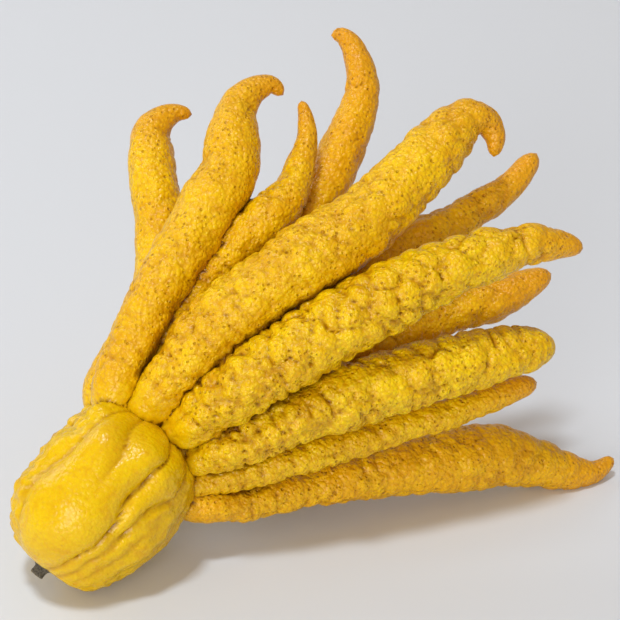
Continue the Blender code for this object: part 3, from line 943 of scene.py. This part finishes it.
# %% The stem button's surface
# mm from the palm's stem end: in to the button's root, and out to the middle of its cut
BUTTON_ROOT = 5.0
STUB_CUT = 4.15
STUB_PROFILE = [
    # mm out from the stem end, radius in mm, share of the five points, share that is cut wood
    (-5.0, 1.6, 0.0, 0.0), (-3.8, 3.0, 0.1, 0.0), (-2.4, 4.2, 0.6, 0.0), (-1.4, 4.8, 1.0, 0.0),
    (-0.6, 5.0, 1.0, 0.0), (0.0, 4.8, 1.0, 0.0), (0.4, 4.2, 0.8, 0.0), (0.8, 3.4, 0.4, 0.0),
    (1.5, 2.8, 0.1, 0.0), (2.5, 2.6, 0.0, 0.0), (3.6, 2.5, 0.0, 0.0), (4.3, 2.5, 0.0, 0.1),
    (4.6, 2.2, 0.0, 0.8), (4.5, 1.5, 0.0, 1.0), (4.2, 0.6, 0.0, 1.0),
]


def make_stem_button(steps, around):
    """Radius = profile * (1 + 0.17 * points * cos(5a)) + bark; the rim lifts at each point."""
    along, front, right = palm_axes()
    knots = np.array(STUB_PROFILE)
    at = np.linspace(0, len(knots) - 1, steps)
    out, radius, points, cut = (
        np.interp(at, np.arange(len(knots)), column)[:, None] for column in knots.T)
    angle = np.linspace(0.0, 2.0 * math.pi, around, endpoint=False)[None]
    round_it = np.stack([out + 0 * angle, radius * np.cos(angle), radius * np.sin(angle)], axis=-1)
    bark = 0.16 * soft_noise(round_it * np.array([0.5, 2.2, 2.2]), 3)
    bark = bark + 0.22 * soft_noise(round_it * 0.8, 4)
    star = points * np.cos(5.0 * angle + 0.4)
    spread = radius * (1.0 + 0.17 * star) + bark * (1.0 - cut) * np.minimum(radius, 1.0)
    lift = out + 0.6 * star * smooth_step(4.0, 5.6, radius) + 0.2 * bark * cut
    direction = np.cos(angle)[..., None] * front + np.sin(angle)[..., None] * right
    rings = PALM_STEM_END - lift[..., None] * along + spread[..., None] * direction
    first, last = PALM_STEM_END + BUTTON_ROOT * along, PALM_STEM_END - STUB_CUT * along
    marks = {"cut": np.broadcast_to(cut, spread.shape)}
    return closed_rings("stem_button_detail", rings, first, last, marks)


button = make_stem_button(45, 72)
button.data.shade_smooth()
print("stem button points:", len(button.data.vertices))

# %% Dry stem material
def dry_stem_material():
    """Dull grey-brown bark with fibres, and paler wood where the mark cut nears 1."""
    material, tree, shader = new_material("dry_stem_bark")
    where = linked(tree, "ShaderNodeTexCoord").outputs["Object"]
    fibres = noise(tree, where, 1500.0, 4.0)
    bark = mix_colour(tree, ramp(tree, fibres, 0.35, 0.65), colour(52, 48, 40), colour(104, 98, 84))
    grain = ramp(tree, noise(tree, where, 2400.0, 3.0), 0.35, 0.65)
    wood = mix_colour(tree, grain, colour(168, 160, 138), colour(206, 198, 176))
    bump = linked(tree, "ShaderNodeBump", in_Strength=0.8, in_Distance=0.4 * MM, in_Height=fibres)
    feed(tree, shader.inputs["Base Color"], mix_colour(tree, attribute(tree, "cut"), bark, wood))
    feed(tree, shader.inputs["Normal"], bump.outputs["Normal"])
    shader.inputs["Roughness"].default_value = 0.85
    print(material.name, "nodes:", len(tree.nodes))
    return material


button.data.materials.append(dry_stem_material())
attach(button, "root")
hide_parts("stem_button")

# %% [markdown]
# ## The studio
# The fruit lies on pale paper that runs back and curves up behind it, so that no horizon
# shows. A key light high in front and to the left draws soft shadows to the right, a weak
# low fill in front opens the undersides, and a wash from the far left lights the paper there.
# The room's own light is warm, as if it came off the fruit and the walls.

# %% Sweep
SWEEP_FRONT = -2.5
SWEEP_BEND_START = 1.6
SWEEP_BEND_RADIUS = 0.8
SWEEP_TOP = 3.0
SWEEP_HALF_WIDTH = 3.0


def make_sweep():
    """A floor that runs back, bends up through a quarter circle and stands as a backdrop."""
    bend = np.linspace(0.0, math.pi / 2.0, 25)[1:]
    back = SWEEP_BEND_START + SWEEP_BEND_RADIUS
    depth = np.concatenate([
        [SWEEP_FRONT, SWEEP_BEND_START], SWEEP_BEND_START + SWEEP_BEND_RADIUS * np.sin(bend), [back]])
    height = np.concatenate([
        [0.0, 0.0], SWEEP_BEND_RADIUS * (1.0 - np.cos(bend)), [SWEEP_TOP]])
    sides = (-SWEEP_HALF_WIDTH, SWEEP_HALF_WIDTH)
    edges = [np.stack([np.full(depth.shape, side), depth, height], axis=-1) for side in sides]
    places = np.stack(edges, axis=1)
    start = np.arange(len(depth) - 1) * 2
    quads = np.stack([start, start + 1, start + 3, start + 2], axis=-1)
    mesh = bpy.data.meshes.new("sweep")
    mesh.from_pydata(places.reshape(-1, 3).tolist(), [], quads.tolist())
    mesh.shade_smooth()
    paper, _, shader = new_material("pale_paper")
    shader.inputs["Base Color"].default_value = (0.685, 0.72, 0.76, 1.0)
    shader.inputs["Roughness"].default_value = 0.75
    mesh.materials.append(paper)
    sweep = bpy.data.objects.new("sweep", mesh)
    bpy.context.scene.collection.objects.link(sweep)
    print("sweep faces:", len(mesh.polygons))


make_sweep()

# %% Lights
def look_at(place, aim):
    """Euler turn that points a light's own -Z from place to aim."""
    return (Vector(aim) - Vector(place)).to_track_quat("-Z", "Y").to_euler()


def make_light(name, place, aim, width, power, tint):
    """A square soft box at place (metres), facing aim."""
    lamp = bpy.data.lights.new(name, "AREA")
    lamp.size = width
    lamp.energy = power
    lamp.color = tint
    light = bpy.data.objects.new(name, lamp)
    light.location = place
    light.rotation_euler = look_at(place, aim)
    bpy.context.scene.collection.objects.link(light)


make_light("key_soft_box", (-0.55, -0.62, 3.9), (0.0, 0.0, 0.06), 0.55, 74.0, (0.86, 0.93, 1.0))
make_light("low_front_fill", (-0.7, -1.9, 0.55), (0.0, 0.0, 0.08), 1.0, 23.0, (0.97, 0.97, 0.97))
make_light("far_left_wash", (-1.6, 1.0, 1.1), (-0.5, 0.4, 0.0), 1.0, 10.0, (0.92, 0.96, 1.0))
world = bpy.data.worlds.new("soft_room")
world.use_nodes = True
room_light = world.node_tree.nodes["Background"]
room_light.inputs["Color"].default_value = (1.0, 0.80, 0.64, 1.0)
room_light.inputs["Strength"].default_value = 0.42
bpy.context.scene.world = world
print("lights:", [light.name for light in bpy.data.lights])

# %% [markdown]
# ## The camera
# The camera looks straight at the fan's front face, which shows every finger at full length.
# A long lens from two thirds of a metre keeps near and far fingers in their true proportions.

# %% Camera
CAMERA_DISTANCE = 688.0
lens = bpy.data.cameras.new("camera")
lens.lens = 105.0
lens.sensor_width = 36.0
lens.clip_start = 0.05
camera = bpy.data.objects.new("camera", lens)
camera.location = (FAN_ORIGIN + CAMERA_DISTANCE * TOWARD) * MM
camera.rotation_euler = (math.pi / 2.0 - LEAN, 0.0, 0.0)
bpy.context.scene.collection.objects.link(camera)
bpy.context.scene.camera = camera
bpy.context.scene.view_settings.view_transform = "Standard"
print("camera at", [round(value, 3) for value in camera.location], "metres, lens", lens.lens, "mm")
